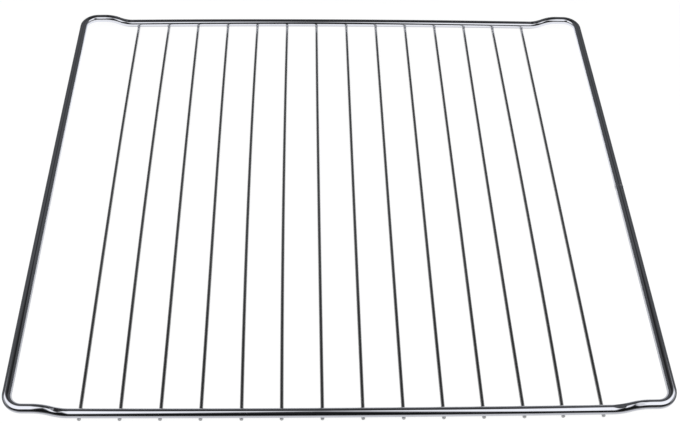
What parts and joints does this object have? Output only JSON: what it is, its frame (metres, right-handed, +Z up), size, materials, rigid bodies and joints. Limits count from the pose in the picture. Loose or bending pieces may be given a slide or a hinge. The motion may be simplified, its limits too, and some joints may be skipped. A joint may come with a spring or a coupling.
{
  "type": "oven shelf rack",
  "caption": "Flat wire oven shelf: a chrome frame wire with raised side bars and corner ears, and thin parallel wires welded under its front and back bars.",
  "frame": {"origin": "on the surface that the shelf lies on, under the middle of the shelf", "axes": "+X across the shelf to its right side bar, +Y from the front bar to the back bar, +Z up"},
  "size_m": [0.4186, 0.3856, 0.0135],
  "materials": {
    "frame_chrome": "bright plated thick steel wire",
    "grid_chrome": "bright plated thin steel wire"
  },
  "bodies": {
    "root": {"frame_wire": "frame_chrome", "grid_wire_01": "grid_chrome", "grid_wire_02": "grid_chrome", "grid_wire_03": "grid_chrome", "grid_wire_04": "grid_chrome", "grid_wire_05": "grid_chrome", "grid_wire_06": "grid_chrome", "grid_wire_07": "grid_chrome", "grid_wire_08": "grid_chrome", "grid_wire_09": "grid_chrome", "grid_wire_10": "grid_chrome", "grid_wire_11": "grid_chrome", "grid_wire_12": "grid_chrome", "grid_wire_13": "grid_chrome", "grid_wire_14": "grid_chrome"}
  },
  "joints": []
}
